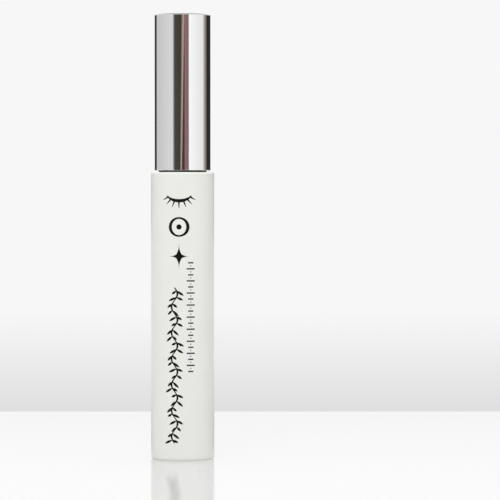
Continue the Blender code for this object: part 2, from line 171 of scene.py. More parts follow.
def lathe(
    name, outline, material, closed=True, segments=128, shape=None, longest=None, between=None,
    angle=40, steps=7,
):
    """A piece turned about Z. shape(radius, turn, height) may return a changed radius."""
    points = outline_points(outline, closed, steps, longest, between)
    made = bmesh.new()
    rows = []
    for p in points:
        if p.x < TINY:
            rows.append([made.verts.new((0.0, 0.0, p.y))])
            continue
        row = []
        for k in range(segments):
            turn = math.tau * k / segments
            radius = shape(p.x, turn, p.y) if shape else p.x
            row.append(made.verts.new((radius * math.cos(turn), radius * math.sin(turn), p.y)))
        rows.append(row)
    pairs = list(zip(rows, rows[1:])) + ([(rows[-1], rows[0])] if closed else [])
    for upper, lower in pairs:
        for k in range(segments):
            j = (k + 1) % segments
            if len(upper) == 1:
                made.faces.new((upper[0], lower[k], lower[j]))
            elif len(lower) == 1:
                made.faces.new((upper[k], lower[0], upper[j]))
            else:
                made.faces.new((upper[k], lower[k], lower[j], upper[j]))
    bmesh.ops.recalc_face_normals(made, faces=made.faces)
    if made.calc_volume(signed=True) < 0:
        bmesh.ops.reverse_faces(made, faces=made.faces)
    obj = object_from(made, name, material)
    smooth(obj, angle)
    return obj


def settle(obj, body, slot, *nodes):
    """The piece rides a body and stands for its CAD nodes. slot is not used."""
    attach(obj, body)
    if nodes:
        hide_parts(*nodes)
    return obj


def ease(value):
    """Smooth step from 0 to 1."""
    value = min(1.0, max(0.0, value))
    return value * value * (3 - 2 * value)


# ------------------------------------------------------------------ materials
def new_material(name, colour, roughness, metallic=0.0, **sockets):
    made = bpy.data.materials.new(name)
    made.use_nodes = True
    shader = made.node_tree.nodes["Principled BSDF"]
    shader.inputs["Base Color"].default_value = (*colour, 1.0)
    shader.inputs["Roughness"].default_value = roughness
    shader.inputs["Metallic"].default_value = metallic
    for key, value in sockets.items():
        shader.inputs[key.replace("_", " ")].default_value = value
    return made, made.node_tree, shader


def texture_space(tree, stretch=(1.0, 1.0, 1.0)):
    """Object coordinates, scaled to millimetres times stretch."""
    where = tree.nodes.new("ShaderNodeTexCoord")
    mapping = tree.nodes.new("ShaderNodeMapping")
    mapping.inputs["Scale"].default_value = [1000.0 * s for s in stretch]
    tree.links.new(where.outputs["Object"], mapping.inputs["Vector"])
    return mapping.outputs["Vector"]


def noise(tree, space, scale, detail=4.0, roughness=0.55):
    made = tree.nodes.new("ShaderNodeTexNoise")
    made.inputs["Scale"].default_value = scale
    made.inputs["Detail"].default_value = detail
    made.inputs["Roughness"].default_value = roughness
    tree.links.new(space, made.inputs["Vector"])
    return made.outputs["Fac"]


def ramp(tree, value, low, high, to_low, to_high):
    made = tree.nodes.new("ShaderNodeMapRange")
    made.inputs["From Min"].default_value = low
    made.inputs["From Max"].default_value = high
    made.inputs["To Min"].default_value = to_low
    made.inputs["To Max"].default_value = to_high
    tree.links.new(value, made.inputs["Value"])
    return made.outputs["Result"]


def mix_colour(tree, factor, first, second):
    made = tree.nodes.new("ShaderNodeMix")
    made.data_type = "RGBA"
    tree.links.new(factor, made.inputs["Factor"])
    made.inputs["A"].default_value = (*first, 1.0)
    made.inputs["B"].default_value = (*second, 1.0)
    return made.outputs["Result"]


def add_bump(tree, shader, heights, distance):
    """Chains one bump for each (height, strength) pair."""
    normal = None
    for height, strength in heights:
        made = tree.nodes.new("ShaderNodeBump")
        made.inputs["Strength"].default_value = strength
        made.inputs["Distance"].default_value = distance
        tree.links.new(height, made.inputs["Height"])
        if normal:
            tree.links.new(normal, made.inputs["Normal"])
        normal = made.outputs["Normal"]
    tree.links.new(normal, shader.inputs["Normal"])


def satin_white():
    """Warm white moulded plastic with a fine satin grain and faint handling marks."""
    made, tree, shader = new_material(
        "satin_white_plastic", (0.85, 0.85, 0.83), 0.36,
        IOR=1.47, Specular_IOR_Level=0.3, Subsurface_Weight=0.06,
    )
    shader.inputs["Subsurface Radius"].default_value = (0.9, 0.8, 0.7)
    shader.inputs["Subsurface Scale"].default_value = 0.4 * MM
    space = texture_space(tree)
    broad = ramp(tree, noise(tree, space, 0.12, detail=3), 0.35, 0.65, 0, 1)
    tree.links.new(
        mix_colour(tree, broad, (0.842, 0.847, 0.806), (0.858, 0.861, 0.824)), shader.inputs["Base Color"],
    )
    marks = noise(tree, texture_space(tree, (1, 1, 0.25)), 1.4, detail=6)
    tree.links.new(ramp(tree, marks, 0.3, 0.75, 0.32, 0.42), shader.inputs["Roughness"])
    grain = noise(tree, space, 9.0, detail=3)
    flow = noise(tree, texture_space(tree, (1, 1, 0.08)), 0.9, detail=2)
    add_bump(tree, shader, [(grain, 0.10), (flow, 0.05)], 0.02 * MM)
    return made


def mirror_chrome():
    """Vacuum-metallised shell: mirror bright, with draw lines along the axis and hairline scratches."""
    made, tree, shader = new_material("mirror_chrome", (0.93, 0.93, 0.935), 0.05, metallic=1.0)
    lines = noise(tree, texture_space(tree, (1, 1, 0.02)), 1.6, detail=4)
    haze = noise(tree, texture_space(tree), 0.35, detail=5)
    fine = noise(tree, texture_space(tree, (1, 1, 0.05)), 14.0, detail=2)
    both = tree.nodes.new("ShaderNodeMath")
    both.operation = "MULTIPLY"
    tree.links.new(haze, both.inputs[0])
    tree.links.new(fine, both.inputs[1])
    tree.links.new(ramp(tree, both.outputs[0], 0.1, 0.5, 0.035, 0.085), shader.inputs["Roughness"])
    tree.links.new(
        mix_colour(tree, ramp(tree, haze, 0.3, 0.7, 0, 1), (0.925, 0.925, 0.93), (0.94, 0.938, 0.935)),
        shader.inputs["Base Color"],
    )
    add_bump(tree, shader, [(lines, 0.035), (haze, 0.03)], 0.03 * MM)
    return made


def black_plastic(name, colour, low, high, bump=0.12):
    """Black moulded plastic: roughness wanders between low and high over a fine texture."""
    made, tree, shader = new_material(
        name, colour, (low + high) / 2, IOR=1.48, Specular_IOR_Level=0.2,
    )
    space = texture_space(tree)
    patches = noise(tree, texture_space(tree, (1, 1, 0.2)), 0.8, detail=5)
    tree.links.new(ramp(tree, patches, 0.3, 0.7, low, high), shader.inputs["Roughness"])
    lighter = tuple(c * 1.6 + 0.002 for c in colour)
    tree.links.new(
        mix_colour(tree, ramp(tree, patches, 0.4, 0.8, 0, 1), colour, lighter), shader.inputs["Base Color"],
    )
    add_bump(tree, shader, [(noise(tree, space, 7.0, detail=3), bump)], 0.02 * MM)
    return made


def natural_plastic(name, colour, roughness, weight):
    """Unpigmented moulded plastic: milky, with flow lines."""
    made, tree, shader = new_material(name, colour, roughness, IOR=1.5, Subsurface_Weight=weight)
    shader.inputs["Subsurface Radius"].default_value = (1.0, 0.95, 0.85)
    shader.inputs["Subsurface Scale"].default_value = 0.8 * MM
    flow = noise(tree, texture_space(tree, (1, 1, 0.3)), 0.6, detail=5)
    darker = tuple(c * 0.93 for c in colour)
    tree.links.new(
        mix_colour(tree, ramp(tree, flow, 0.3, 0.7, 0, 1), darker, colour), shader.inputs["Base Color"],
    )
    tree.links.new(
        ramp(tree, flow, 0.3, 0.7, roughness - 0.06, roughness + 0.08), shader.inputs["Roughness"],
    )
    add_bump(tree, shader, [(noise(tree, texture_space(tree), 5.0), 0.08)], 0.02 * MM)
    return made


def washer_foam():
    """Closed-cell foam: small pits in a soft white sheet."""
    made, tree, shader = new_material("washer_foam", (0.83, 0.83, 0.81), 0.85)
    cells = tree.nodes.new("ShaderNodeTexVoronoi")
    cells.inputs["Scale"].default_value = 5.0
    tree.links.new(texture_space(tree), cells.inputs["Vector"])
    depth = ramp(tree, cells.outputs["Distance"], 0, 0.6, 0, 1)
    tree.links.new(
        mix_colour(tree, depth, (0.86, 0.86, 0.85), (0.74, 0.74, 0.72)), shader.inputs["Base Color"],
    )
    add_bump(tree, shader, [(cells.outputs["Distance"], 0.5)], 0.05 * MM)
    return made


def wet_paste():
    """Black paste: wet, slightly lumpy."""
    made, tree, shader = new_material("black_paste", (0.006, 0.005, 0.005), 0.2, IOR=1.42)
    lumps = noise(tree, texture_space(tree), 1.2, detail=6)
    tree.links.new(ramp(tree, lumps, 0.3, 0.7, 0.12, 0.34), shader.inputs["Roughness"])
    tree.links.new(
        mix_colour(tree, lumps, (0.004, 0.003, 0.003), (0.012, 0.010, 0.010)), shader.inputs["Base Color"],
    )
    add_bump(tree, shader, [(lumps, 0.6)], 0.2 * MM)
    return made


def blackened_wire():
    """Steel wire with a black finish, streaked where it was drawn and twisted."""
    made, tree, shader = new_material("blackened_wire", (0.05, 0.05, 0.052), 0.34, metallic=1.0)
    streaks = noise(tree, texture_space(tree), 6.0, detail=4)
    tree.links.new(ramp(tree, streaks, 0.3, 0.7, 0.26, 0.46), shader.inputs["Roughness"])
    tree.links.new(
        mix_colour(tree, streaks, (0.03, 0.03, 0.031), (0.09, 0.088, 0.086)), shader.inputs["Base Color"],
    )
    add_bump(tree, shader, [(streaks, 0.15)], 0.02 * MM)
    return made


def black_nylon():
    """Bristle fibres: black nylon, semi-matt where paste has dried on it."""
    made, tree, shader = new_material("black_nylon", (0.006, 0.006, 0.0065), 0.5, IOR=1.53)
    dried = noise(tree, texture_space(tree), 1.5, detail=4)
    tree.links.new(ramp(tree, dried, 0.35, 0.65, 0.38, 0.7), shader.inputs["Roughness"])
    tree.links.new(
        mix_colour(tree, dried, (0.004, 0.004, 0.004), (0.012, 0.012, 0.013)), shader.inputs["Base Color"],
    )
    return made


def black_ink():
    """Screen-printed ink: dense black with slightly uneven gloss."""
    made, tree, shader = new_material(
        "black_ink", (0.0045, 0.0045, 0.003), 0.42, Specular_IOR_Level=0.2,
    )
    cover = noise(tree, texture_space(tree), 3.0, detail=5)
    tree.links.new(ramp(tree, cover, 0.3, 0.7, 0.34, 0.52), shader.inputs["Roughness"])
    tree.links.new(
        mix_colour(tree, cover, (0.003, 0.003, 0.002), (0.007, 0.007, 0.005)), shader.inputs["Base Color"],
    )
    add_bump(tree, shader, [(cover, 0.1)], 0.01 * MM)
    return made


SATIN = satin_white()
CHROME = mirror_chrome()
WAND_BLACK = black_plastic("wand_black_plastic", (0.006, 0.006, 0.006), 0.26, 0.4)
RING_BLACK = black_plastic("ring_black_plastic", (0.028, 0.029, 0.028), 0.35, 0.5)
VIAL_PLASTIC = natural_plastic("vial_natural_plastic", (0.80, 0.80, 0.775), 0.34, 0.25)
WIPER_PLASTIC = natural_plastic("wiper_soft_plastic", (0.70, 0.70, 0.68), 0.45, 0.4)
FOAM = washer_foam()
PASTE = wet_paste()
WIRE = blackened_wire()
NYLON = black_nylon()
INK = black_ink()


# ------------------------------------------------------------------ the tube
def make_sleeve():
    """White sleeve, open below, with a flat shoulder round the neck."""
    inside = SLEEVE_RADIUS - 1.4 * MM
    hole = NECK_RADIUS + GAP
    underside = SHOULDER - SHOULDER_THICKNESS
    obj = lathe("sleeve", [
        (hole, SHOULDER, 0.1 * MM),
        (SLEEVE_RADIUS, SHOULDER, 0.5 * MM),
        (SLEEVE_RADIUS, SLEEVE_LOW.z, 0.8 * MM),
        (inside, SLEEVE_LOW.z, 0.15 * MM),
        (inside, underside, 0.5 * MM),
        (hole, underside, 0.1 * MM),
    ], SATIN, segments=192)
    return settle(obj, "tube", "sleeve_white", "outer_sleeve")


def make_base_plug():
    """Base disc with a faint turned step, a gate mark in its centre and a stiffening rim above."""
    radius = PLUG_HIGH.x
    top, bottom = PLUG_HIGH.z, PLUG_LOW.z
    step, gate, chamfer = 5.0 * MM, 0.7 * MM, 0.2 * MM
    obj = lathe("base_disc", [
        (0.0, top - 0.6 * MM),
        (radius - 1.6 * MM, top - 0.6 * MM, 0.2 * MM),
        (radius - 1.0 * MM, top, 0.2 * MM),
        (radius, top, 0.2 * MM),
        (radius, bottom, 0.15 * MM),
        (step + chamfer, bottom, 0.08 * MM),
        (step, bottom + 0.15 * MM, 0.08 * MM),
        (gate + chamfer, bottom + 0.15 * MM, 0.08 * MM),
        (gate, bottom + 0.3 * MM, 0.08 * MM),
        (0.0, bottom + 0.3 * MM),
    ], SATIN, closed=False, segments=128)
    return settle(obj, "tube", "sleeve_white", "base_plug")


def ridge_height(turn, height, start, turns, first_angle, run_out=math.radians(40)):
    """Share of full thread height, 0 to 1, at a place on the wall."""
    sweep = turns * math.tau
    best = 0.0
    for lap in range(-1, math.ceil(turns) + 1):
        angle = (turn - first_angle) % math.tau + lap * math.tau
        if not 0 <= angle <= sweep:
            continue
        off = abs(height - start - THREAD_LEAD * angle / math.tau)
        rise = ease((THREAD_HALF - off) / THREAD_FLANK)
        best = max(best, rise * ease(min(angle, sweep - angle) / run_out))
    return best


def make_vial():
    """Vial with its neck, whose thread is raised from the wall over one and a quarter turns."""
    inside = VIAL_RADIUS - 1.1 * MM
    floor = VIAL_LOW.z + 1.2 * MM
    thread_low, thread_high = SHOULDER + 4.0 * MM, SHOULDER + 9.5 * MM
    crest, turns = 0.42 * MM, 1.25

    def threaded(radius, turn, height):
        if abs(radius - NECK_RADIUS) > TINY or height < SHOULDER:
            return radius
        return radius + crest * ridge_height(turn, height, THREAD_START, turns, 0.0)

    obj = lathe("vial", [
        (0.0, floor),
        (inside, floor, 1.0 * MM),
        (inside, VIAL_SHOULDER - 2.2 * MM, 0.4 * MM),
        (NECK_BORE, VIAL_SHOULDER - 0.9 * MM, 0.4 * MM),
        (NECK_BORE, NECK_TOP, 0.15 * MM),
        (NECK_RADIUS, NECK_TOP, 0.3 * MM),
        (NECK_RADIUS, thread_high),
        (NECK_RADIUS, thread_low),
        (NECK_RADIUS, VIAL_SHOULDER),
        (VIAL_RADIUS, VIAL_SHOULDER, 0.6 * MM),
        (VIAL_RADIUS, VIAL_LOW.z, 0.8 * MM),
        (0.0, VIAL_LOW.z),
    ], VIAL_PLASTIC, closed=False, segments=144, shape=threaded, longest=0.1 * MM,
        between=(thread_low - GAP, thread_high + GAP), angle=60, steps=5)
    return settle(obj, "tube", "vial_plastic", "inner_vial")


def make_wiper():
    """Soft insert in the neck: flange, straight skirt, cone and the lips that wipe the rod."""
    outside = NECK_BORE - GAP
    inside = outside - 0.8 * MM
    top = WIPER_HIGH.z
    bottom = top - 0.6 * MM
    skirt_end = bottom - 6.2 * MM
    cone_end = skirt_end - 5.0 * MM
    orifice = 1.6 * MM
    obj = lathe("wiper_insert", [
        (inside, top, 0.25 * MM),
        (WIPER_HIGH.x, top, 0.2 * MM),
        (WIPER_HIGH.x, bottom, 0.08 * MM),
        (outside, bottom, 0.1 * MM),
        (outside, skirt_end, 0.6 * MM),
        (orifice + 0.5 * MM, cone_end, 0.3 * MM),
        (orifice + 0.5 * MM, WIPER_LOW.z, 0.15 * MM),
        (orifice, WIPER_LOW.z, 0.1 * MM),
        (orifice, cone_end + 0.3 * MM, 0.3 * MM),
        (inside, skirt_end + 0.3 * MM, 0.6 * MM),
    ], WIPER_PLASTIC, segments=96)
    return settle(obj, "tube", "wiper_soft", "wiper")


def make_paste():
    """Paste on the vial's wall, thicker and thinner where the brush has dragged it."""
    outside, floor, level = PASTE_HIGH.x, PASTE_LOW.z, PASTE_HIGH.z
    well, pool = 3.7 * MM, 6.2 * MM

    def dragged(radius, turn, height):
        if radius > outside - 0.2 * MM or height < pool + 1.5 * MM:
            return radius
        wave = math.sin(3 * turn + height * 520) * 0.16 + math.sin(5 * turn - height * 910) * 0.1
        return radius + (wave + 0.2) * MM

    obj = lathe("paste", [
        (0.0, pool),
        (well, pool, 1.2 * MM),
        (well, level - 2.2 * MM, 1.5 * MM),
        (outside - 0.2 * MM, level),
        (outside, level - 0.1 * MM),
        (outside, floor, 1.0 * MM),
        (0.0, floor),
    ], PASTE, closed=False, segments=96, shape=dragged, longest=0.6 * MM)
    return settle(obj, "tube", "paste_black", "formula")


def make_ring():
    """Dark collar on the shoulder, which shows as a line under the cap."""
    inside = NECK_RADIUS + GAP
    obj = lathe("collar_ring", [
        (inside, RING_HIGH.z, 0.08 * MM),
        (RING_HIGH.x, RING_HIGH.z, 0.15 * MM),
        (RING_HIGH.x, RING_LOW.z, 0.1 * MM),
        (inside, RING_LOW.z, 0.08 * MM),
    ], RING_BLACK, segments=144)
    return settle(obj, "collar", "ring_black", "neck_ring")


def make_washer():
    """Die-cut foam washer, its edges pinched a little by the cutter."""
    hole = 2.25 * MM

    def pinched(radius, turn, height):
        return radius - 0.02 * MM * (1 + math.sin(9 * turn))

    obj = lathe("foam_washer", [
        (hole, WASHER_HIGH.z, 0.12 * MM),
        (WASHER_HIGH.x, WASHER_HIGH.z, 0.2 * MM),
        (WASHER_HIGH.x, WASHER_LOW.z, 0.2 * MM),
        (hole, WASHER_LOW.z, 0.12 * MM),
    ], FOAM, segments=96, shape=pinched)
    return settle(obj, "seal", "washer_foam", "sealing_washer")


# ------------------------------------------------------------------ the cap
def make_shell():
    """Bright drawn shell, closed on top."""
    inside = CAP_RADIUS - 0.5 * MM
    roof = CAP_TOP - 0.7 * MM
    obj = lathe("chrome_shell", [
        (0.0, CAP_TOP),
        (CAP_RADIUS, CAP_TOP, 0.35 * MM),
        (CAP_RADIUS, CAP_RIM, 0.12 * MM),
        (inside, CAP_RIM, 0.12 * MM),
        (inside, roof, 0.3 * MM),
        (0.0, roof),
    ], CHROME, closed=False, segments=256, steps=10)
    return settle(obj, "applicator", "cap_chrome", "cap_shell")


def make_inner_cap():
    """Threaded liner with crush ribs outside, a web over the neck and the rod's socket and snap groove."""
    top = INNER_HIGH.z
    socket_radius = 3.2 * MM
    socket_top = ROD_HIGH.z + 1.3 * MM
    hole = ROD_RADIUS + GAP
    web_top = WEB_BOTTOM + 1.4 * MM
    wall = INNER_HIGH.x - 0.25 * MM
    groove_half = 0.75 * MM
    crush_ribs, rib_height = 12, 0.2 * MM
    crest, turns = 0.39 * MM, 1.5
    first_angle = (CAP_THREAD_START + THREAD_LEAD / 2 - THREAD_START) / THREAD_LEAD * math.tau

    def detailed(radius, turn, height):
        if abs(radius - INNER_BORE) < TINY and height < WEB_BOTTOM - 0.3 * MM:
            return radius - crest * ridge_height(turn, height, CAP_THREAD_START, turns, first_angle)
        if abs(radius - wall) < TINY:
            from_rib = abs((turn / math.tau * crush_ribs) % 1 - 0.25)
            return radius + rib_height * ease((0.075 - from_rib) / 0.03)
        return radius

    obj = lathe("cap_liner", [
        (0.0, socket_top),
        (socket_radius, socket_top, 0.4 * MM),
        (socket_radius, web_top, 0.4 * MM),
        (INNER_BORE, web_top, 0.3 * MM),
        (INNER_BORE, top, 0.15 * MM),
        (wall, top, 0.15 * MM),
        (wall, INNER_LOW.z + 1.2 * MM),
        (INNER_HIGH.x, INNER_LOW.z + 1.0 * MM),
        (INNER_HIGH.x, INNER_LOW.z, 0.15 * MM),
        (INNER_BORE, INNER_LOW.z, 0.15 * MM),
        (INNER_BORE, WEB_BOTTOM, 0.25 * MM),
        (hole, WEB_BOTTOM, 0.2 * MM),
        (hole, ROD_BEAD - groove_half),
        (hole + 0.25 * MM, ROD_BEAD, 0.2 * MM),
        (hole, ROD_BEAD + groove_half),
        (hole, ROD_HIGH.z + GAP),
        (0.0, ROD_HIGH.z + GAP),
    ], WAND_BLACK, closed=False, segments=144, shape=detailed, longest=0.12 * MM,
        between=(INNER_LOW.z, WEB_BOTTOM), angle=50, steps=5)
    return settle(obj, "applicator", "wand_black", "inner_cap")


# ------------------------------------------------------------------ the wand
def make_rod():
    """Turned rod with its snap bead, drawn in slightly towards the brush, and a crimped mouth."""
    top = ROD_HIGH.z
    bead_half = 0.6 * MM
    socket_end = ROD_END + WIRE_SOCKET_DEPTH
    obj = lathe("rod", [
        (0.0, top),
        (ROD_RADIUS, top, 0.3 * MM),
        (ROD_RADIUS, ROD_BEAD + bead_half),
        (ROD_RADIUS + 0.22 * MM, ROD_BEAD, 0.25 * MM),
        (ROD_RADIUS, ROD_BEAD - bead_half),
        (ROD_RADIUS, WEB_BOTTOM),
        (ROD_TIP_RADIUS, ROD_END + 1.2 * MM, 0.8 * MM),
        (ROD_TIP_RADIUS - 0.1 * MM, ROD_END, 0.45 * MM),
        (WIRE_SOCKET, ROD_END, 0.1 * MM),
        (WIRE_SOCKET, socket_end),
        (0.0, socket_end),
    ], WAND_BLACK, closed=False, segments=64, longest=2.0 * MM)
    return settle(obj, "applicator", "wand_black", "wand_rod")


def wire_heading(share):
    """Lean of the wire towards +X, at a share of the brush's length."""
    bend = ease((share - CURVE_FROM) / (CURVE_TO - CURVE_FROM))
    return -LEAN_BACK + (LEAN_BACK + TIP_LEAN) * bend


def brush_centre_line():
    step = BRUSH_LENGTH / CENTRE_LINE_STEPS
    points = [Vector((0.0, 0.0, ROD_END))]
    for i in range(CENTRE_LINE_STEPS):
        lean = wire_heading((i + 0.5) / CENTRE_LINE_STEPS)
        points.append(points[-1] + Vector((math.sin(lean), 0.0, -math.cos(lean))) * step)
    return points


CENTRE_LINE = brush_centre_line()


def wire_frame(depth):
    """Point, cross direction, side direction and along direction, at a length below the rod's end."""
    if depth <= 0:
        return Vector((0, 0, ROD_END - depth)), Vector((1, 0, 0)), Vector((0, 1, 0)), Vector((0, 0, -1))
    place = min(depth / BRUSH_LENGTH, 1.0) * CENTRE_LINE_STEPS
    i = min(int(place), CENTRE_LINE_STEPS - 1)
    lean = wire_heading(depth / BRUSH_LENGTH)
    point = CENTRE_LINE[i].lerp(CENTRE_LINE[i + 1], place - i)
    across = Vector((math.cos(lean), 0, math.sin(lean)))
    return point, across, Vector((0, 1, 0)), Vector((math.sin(lean), 0, -math.cos(lean)))


def around_wire(depth, radius, angle):
    """A place beside the wire's centre line: angle runs from the cross direction to the side one."""
    point, across, side, _ = wire_frame(depth)
    return point + (across * math.cos(angle) + side * math.sin(angle)) * radius


def make_wire():
    """One wire folded in the rod's mouth, its two legs twisted down to the cut tip."""
    start = -0.3 * MM
    steps_a_turn, fold_steps = 20, 8
    steps = round((BRUSH_LENGTH - start) / TWIST_PITCH * steps_a_turn)
    leg = [start + (BRUSH_LENGTH - start) * i / steps for i in range(steps + 1)]
    turn_at = [math.tau * depth / TWIST_PITCH for depth in leg]
    fold = STRAND_RADIUS + STRAND_OFFSET + GAP - WIRE_SOCKET_DEPTH
    points = [around_wire(d, STRAND_OFFSET, a) for d, a in zip(reversed(leg), reversed(turn_at))]
    for i in range(fold_steps + 1):
        bend = math.pi * i / fold_steps
        depth = fold - STRAND_OFFSET * math.sin(bend)
        points.append(around_wire(depth, STRAND_OFFSET * math.cos(bend), turn_at[0]))
    points += [around_wire(d, STRAND_OFFSET, a + math.pi) for d, a in zip(leg, turn_at)]
    curve = bpy.data.curves.new("twisted_wire", "CURVE")
    curve.dimensions = "3D"
    curve.bevel_depth = STRAND_RADIUS
    curve.bevel_resolution = 4
    curve.use_fill_caps = True
    spline = curve.splines.new("POLY")
    spline.points.add(len(points) - 1)
    for spot, point in zip(spline.points, points):
        spot.co = (*point, 1.0)
    path = link(bpy.data.objects.new("twisted_wire_path", curve))
    mesh = bpy.data.meshes.new_from_object(path.evaluated_get(bpy.context.evaluated_depsgraph_get()))
    bpy.data.objects.remove(path)
    welded = bmesh.new()
    welded.from_mesh(mesh)
    bmesh.ops.remove_doubles(welded, verts=welded.verts, dist=1e-6)
    bmesh.ops.recalc_face_normals(welded, faces=welded.faces)
    welded.to_mesh(mesh)
    welded.free()
    mesh.materials.clear()
    obj = mesh_object("twisted_wire", mesh, WIRE)
    smooth(obj, 50)
    return settle(obj, "applicator", "wire_dark", "brush_wire")


def envelope(share, angle):
    """Length of a bristle from the wire: slim at the rod, full past the middle, tapered at the tip."""
    base, full, tip, fullest = 1.34 * MM, 2.22 * MM, 1.0 * MM, 0.55
    if share < fullest:
        length = base + (full - base) * math.sin(math.pi / 2 * share / fullest)
    else:
        length = tip + (full - tip) * math.cos(math.pi / 2 * (share - fullest) / (1 - fullest)) ** 0.8
    return length * (0.74 + 0.26 * math.cos(angle) ** 2)


def add_bristle(shape, depth, angle, length, sweep, lift):
    """One tapered three-sided fibre from the wire outwards, a little swept and lifted along the wire."""
    steps, root, rings = 4, 0.12 * MM, []
    _, across, side, along = wire_frame(depth)
    for i in range(steps + 1):
        share = i / steps
        radius = root + (length - root) * share
        turn = angle + sweep * share * share
        centre = around_wire(depth, radius, turn) + along * (lift * share * share)
        out = across * math.cos(turn) + side * math.sin(turn)
        sideways = out.cross(along).normalized()
        thick = (0.055 - 0.022 * share) * MM
        rings.append([
            shape.verts.new(centre + (sideways * math.cos(t) + along * math.sin(t)) * thick)
            for t in (0.3 + math.tau * k / 3 for k in range(3))
        ])
    for low, high in zip(rings, rings[1:]):
        for k in range(3):
            j = (k + 1) % 3
            shape.faces.new((low[k], low[j], high[j], high[k]))
    shape.faces.new(list(reversed(rings[0])))
    shape.faces.new(rings[-1])


def make_bristles():
    """Fibres laid between the wire's legs and spread by the twist into a double spiral."""
    start, end = 0.5 * MM, BRUSH_LENGTH - 0.12 * MM
    shape = bmesh.new()
    fibres = 1350
    for i in range(fibres):
        share = i / (fibres - 1)
        depth = start + (end - start) * share
        base_angle = math.tau * depth / TWIST_PITCH + math.pi / 2
        for phase in (0.0, math.pi):
            angle = base_angle + phase + random.gauss(0, 0.10)
            length = envelope(share, angle) * random.gauss(1.0, 0.022)
            stray = random.random() < 0.03
            sweep = random.gauss(0, 0.28 if stray else 0.05)
            lift = random.gauss(0, 0.35 if stray else 0.07) * MM
            add_bristle(shape, depth + random.gauss(0, 0.03) * MM, angle, length, sweep, lift)
    bmesh.ops.recalc_face_normals(shape, faces=shape.faces)
    obj = object_from(shape, "bristles", NYLON)
    obj.data.shade_smooth()
    return settle(obj, "applicator", "bristle_black", "bristle_flight_a", "bristle_flight_b")


# ------------------------------------------------------------------ printed ornament, without letters
INK_PROUD = 0.008 * MM
INK_FACET = 0.25 * MM
INK_FINEST = 0.02 * MM                # half the width of the finest line


def on_sleeve(across, height, lift):
    """A place on the front of the sleeve: across is measured round the wall, to the right."""
    radius = SLEEVE_RADIUS + lift
    turn = across / SLEEVE_RADIUS
    return Vector((radius * math.sin(turn), -radius * math.cos(turn), height))


def add_stroke(shape, path):
    """A thin ribbon of ink along (across, height, half width) points, bent to the wall.

    A path that ends where it starts is joined into a ring; any other has both ends capped.
    """
    ringed = math.dist(path[0][:2], path[-1][:2]) < 0.001 * MM
    if ringed:
        path = path[:-1]
    last = len(path) - 1
    columns = math.ceil(2 * max(half for _, _, half in path) / INK_FACET) + 1
    rings = []
    for i, (across, height, half) in enumerate(path):
        before = path[i - 1 if ringed else max(i - 1, 0)]
        after = path[(i + 1) % len(path) if ringed else min(i + 1, last)]
        along = Vector((after[0] - before[0], after[1] - before[1])).normalized()
        aside = Vector((-along.y, along.x)) * max(half, INK_FINEST)
        spots = [
            (across + aside.x * (1 - 2 * k / columns), height + aside.y * (1 - 2 * k / columns))
            for k in range(columns + 1)
        ]
        rings.append(
            [shape.verts.new(on_sleeve(*spot, INK_PROUD)) for spot in spots]
            + [shape.verts.new(on_sleeve(*spot, -INK_PROUD)) for spot in reversed(spots)]
        )
    count = len(rings[0])
    for first, second in zip(rings, rings[1:] + (rings[:1] if ringed else [])):
        for k in range(count):
            j = (k + 1) % count
            shape.faces.new((first[k], first[j], second[j], second[k]))
    if not ringed:
        for end in (rings[0], rings[-1]):
            for k in range(columns):
                shape.faces.new((end[k], end[k + 1], end[count - 2 - k], end[count - 1 - k]))


def curve_points(place, width):
    """Stroke points from place(t) -> (across, height) and width(t) -> half width, in mm, t from 0 to 1."""
    samples = 60
    rough = [Vector(place(i / samples)) for i in range(samples + 1)]
    length = sum((b - a).length for a, b in zip(rough, rough[1:])) * MM
    count = max(4, math.ceil(length / INK_FACET))
    made = []
    for i in range(count + 1):
        t = i / count
        across, height = place(t)
        made.append((across * MM, height * MM, width(t) * MM))
    return made


def ink_object(name, strokes):
    shape = bmesh.new()
    for stroke in strokes:
        add_stroke(shape, stroke)
    bmesh.ops.recalc_face_normals(shape, faces=shape.faces)
    return settle(object_from(shape, name, INK), "tube", "wand_black")


def lash_fan(centre, height, reach):
    """An arc with tapering lashes that spread from it."""
    lashes = 7

    def along_arc(t):
        turn = math.pi * (0.12 + 0.76 * t)
        return centre - reach * math.cos(turn), height - 0.62 * reach * math.sin(turn)

    def lash(share):
        turn = math.pi * (0.12 + 0.76 * share)
        foot = Vector(along_arc(share))
        way = Vector((-math.cos(turn) * 0.9, -math.sin(turn))).normalized()
        bend = (share - 0.5) * 0.54
        length = reach * (0.36 + 0.22 * math.sin(math.pi * share))
        return curve_points(
            lambda t: foot + Vector((way.x * t + bend * t * t, way.y * t)) * length,
            lambda t: 0.24 * (1 - t) ** 0.7 + 0.03,
        )

    arc = curve_points(along_arc, lambda t: 0.12 + 0.34 * math.sin(math.pi * t))
    return [arc] + [lash((k + 0.5) / lashes) for k in range(lashes)]


def ring_mark(centre, height, radius, half):
    """A ring, broader at its sides than above and below."""
    return curve_points(
        lambda t: (centre + radius * math.cos(math.tau * t), height + radius * math.sin(math.tau * t)),
        lambda t: half * (0.55 + 0.45 * math.cos(math.tau * t) ** 2),
    )


def ray(across, height, turn, start, length):
    """Places along a straight line that leaves the point given towards turn, from start mm on."""
    def place(t):
        reach = start + length * t
        return across + math.cos(turn) * reach, height + math.sin(turn) * reach

    return place


def leaf(across, height, turn, length, fat):
    """A pointed leaf as one stroke that swells and closes, its stalk just clear of the place given."""
    return curve_points(
        ray(across, height, turn, 0.06, length),
        lambda t: fat * math.sin(math.pi * min(1.0, t * 0.98 + 0.01)) ** 0.8,
    )


def spike(across, height, turn, length, fat):
    """One point of a star, with hollow sides: widest a little behind the star's centre."""
    return curve_points(ray(across, height, turn, -0.1, length), lambda t: fat * (1 - t) ** 2.2)


